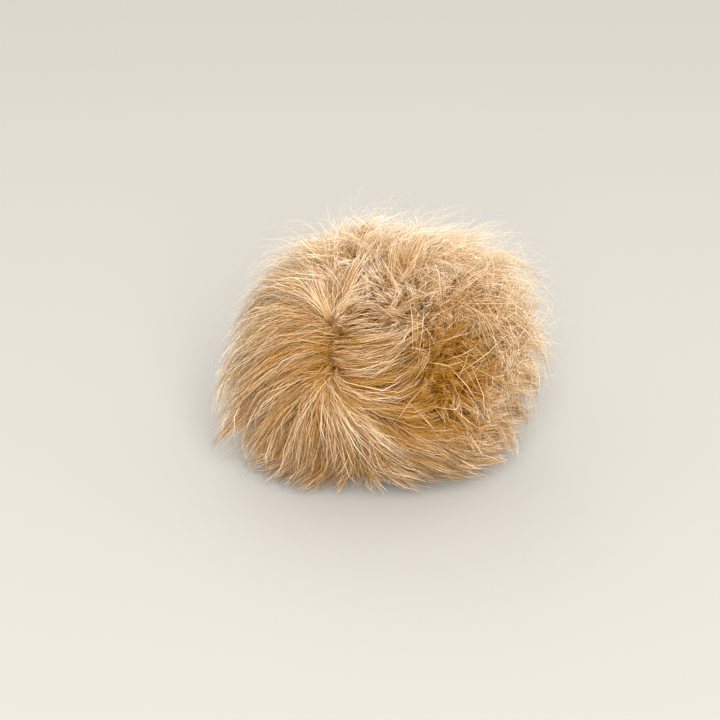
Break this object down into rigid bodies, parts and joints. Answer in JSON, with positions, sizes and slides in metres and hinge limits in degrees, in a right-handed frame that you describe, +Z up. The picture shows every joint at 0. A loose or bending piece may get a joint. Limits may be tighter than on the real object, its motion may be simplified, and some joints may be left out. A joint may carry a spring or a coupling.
{
  "type": "pom pom",
  "caption": "Soft round ball of long-pile fur, slightly flattened, with the pile parting and sweeping round it and a small flat resting spot below.",
  "frame": {"origin": "below the middle of the pom pom's box, on the surface it rests on", "axes": "+Z up from the surface, +X along its widest way, to the right of a viewer who faces the pile's main parting, +Y away from that viewer"},
  "size_m": [0.1096, 0.102, 0.087],
  "materials": {
    "fur": "long golden tan pile, paler towards its tips"
  },
  "bodies": {
    "root": {"pompom": "fur"}
  },
  "joints": []
}
